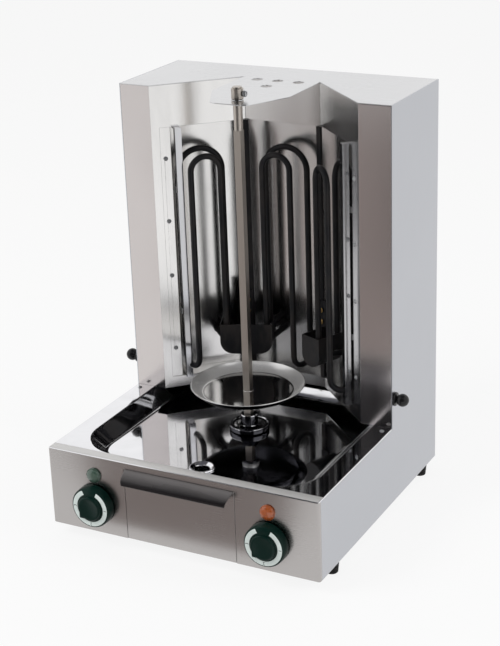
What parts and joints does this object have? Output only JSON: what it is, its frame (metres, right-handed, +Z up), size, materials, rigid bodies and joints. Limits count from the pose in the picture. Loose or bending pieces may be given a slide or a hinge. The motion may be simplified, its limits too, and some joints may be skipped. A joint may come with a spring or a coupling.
{
  "type": "electric skewer grill",
  "caption": "Upright electric skewer grill: steel base with drip basin, fat drawer and controls, two columns, a three-sided heating chamber and a turning vertical rod with a dish",
  "frame": {"origin": "on the floor, under the centre of the bounding box", "axes": "+Z up along the spit, -Y the front with the knobs and the drawer, +X to the right seen from the front"},
  "size_m": [0.4412, 0.429, 0.591],
  "materials": {
    "casing_steel": "finely brushed stainless steel sheet",
    "front_steel": "finely brushed stainless steel sheet, a little darker",
    "plain_steel": "plain mill-finish stainless sheet",
    "mirror_steel": "mirror-polished stainless steel",
    "heater_black": "black heat-resistant oxide finish",
    "zinc": "zinc-plated steel",
    "ceramic": "off-white ceramic and moulded insulator",
    "bronze": "sintered bronze",
    "spit_steel": "satin stainless bar",
    "bearing_iron": "dark machined iron",
    "handle_black": "steel lip, grey above and gloss black along its front",
    "regulator_black": "black moulded plastic",
    "knob_green": "very dark green thermoset plastic with a pale printed ring",
    "lamp_green": "green lamp lens",
    "lamp_orange": "orange lamp lens",
    "ball_black": "black thermoset plastic",
    "wire_brown": "insulated wire",
    "rubber": "black rubber"
  },
  "bodies": {
    "casing": {"base_plate": "plain_steel", "left_side_panel": "casing_steel", "right_side_panel": "casing_steel", "front_panel": "front_steel", "basin": "mirror_steel", "back_panel": "plain_steel", "left_column_front": "casing_steel", "right_column_front": "casing_steel", "top_plate": "casing_steel", "left_chamber_wall": "mirror_steel", "right_chamber_wall": "mirror_steel", "rear_chamber_wall": "mirror_steel", "chamber_ceiling": "mirror_steel", "chamber_floor": "mirror_steel", "left_reflector": "mirror_steel", "right_reflector": "mirror_steel", "rear_reflector": "mirror_steel", "left_heater": "heater_black", "right_heater": "heater_black", "rear_heater": "heater_black", "heater_posts": "mirror_steel", "corner_bars": "heater_black", "heater_clips": "zinc", "left_terminal_cover": "heater_black", "right_terminal_cover": "heater_black", "heater_terminals": "ceramic", "gear_motor": "zinc", "motor_bracket": "zinc", "shaft_bush": "bronze", "top_bearing": "bearing_iron", "drain_spout": "mirror_steel", "drawer_runners": "zinc", "left_regulator": "regulator_black", "right_regulator": "regulator_black", "green_lamp": "lamp_green", "orange_lamp": "lamp_orange", "lamp_housings": "regulator_black", "clamp_nuts": "zinc", "terminal_block": "ceramic", "cable_gland": "regulator_black", "wiring": "wire_brown", "rubber_feet": "rubber", "foot_screws": "zinc", "casing_screws": "zinc", "chamber_screws": "zinc"},
    "drawer": {"drawer_front": "front_steel", "drawer_handle": "handle_black", "drawer_pan": "plain_steel"},
    "left_knob": {"left_knob": "knob_green", "left_knob_shaft": "zinc"},
    "right_knob": {"right_knob": "knob_green", "right_knob_shaft": "zinc"},
    "drive": {"drive_shaft": "zinc", "drive_hub": "mirror_steel"},
    "spit": {"spit_rod": "spit_steel", "spit_dish": "mirror_steel", "top_collar": "spit_steel"},
    "thumb_screw": {"thumb_screw": "zinc"},
    "left_clamp": {"left_clamp_knob": "ball_black"},
    "right_clamp": {"right_clamp_knob": "ball_black"}
  },
  "joints": [
    {"name": "drawer_slide", "type": "slide", "parent": "casing", "child": "drawer", "axis": [0, -1, 0], "range_m": [0, 0.13]},
    {"name": "left_knob_turn", "type": "hinge", "parent": "casing", "child": "left_knob", "pos_m": [-0.129, -0.1955, 0.06], "axis": [0, 1, 0], "range_deg": [0, 300]},
    {"name": "right_knob_turn", "type": "hinge", "parent": "casing", "child": "right_knob", "pos_m": [0.129, -0.1955, 0.06], "axis": [0, 1, 0], "range_deg": [0, 300]},
    {"name": "spit_spin", "type": "hinge", "parent": "casing", "child": "drive", "pos_m": [0, 0.0045, 0.1], "axis": [0, 0, 1], "continuous": true},
    {"name": "spit_lift", "type": "slide", "parent": "drive", "child": "spit", "axis": [0, 0, 1], "range_m": [0, 0.03]},
    {"name": "thumb_screw_turn", "type": "hinge", "parent": "spit", "child": "thumb_screw", "pos_m": [0.01, 0.0045, 0.5822], "axis": [1, 0, 0], "continuous": true},
    {"name": "left_clamp_turn", "type": "hinge", "parent": "casing", "child": "left_clamp", "pos_m": [-0.2, 0.0465, 0.171], "axis": [-1, 0, 0], "continuous": true},
    {"name": "right_clamp_turn", "type": "hinge", "parent": "casing", "child": "right_clamp", "pos_m": [0.2, 0.0465, 0.171], "axis": [1, 0, 0], "continuous": true}
  ]
}
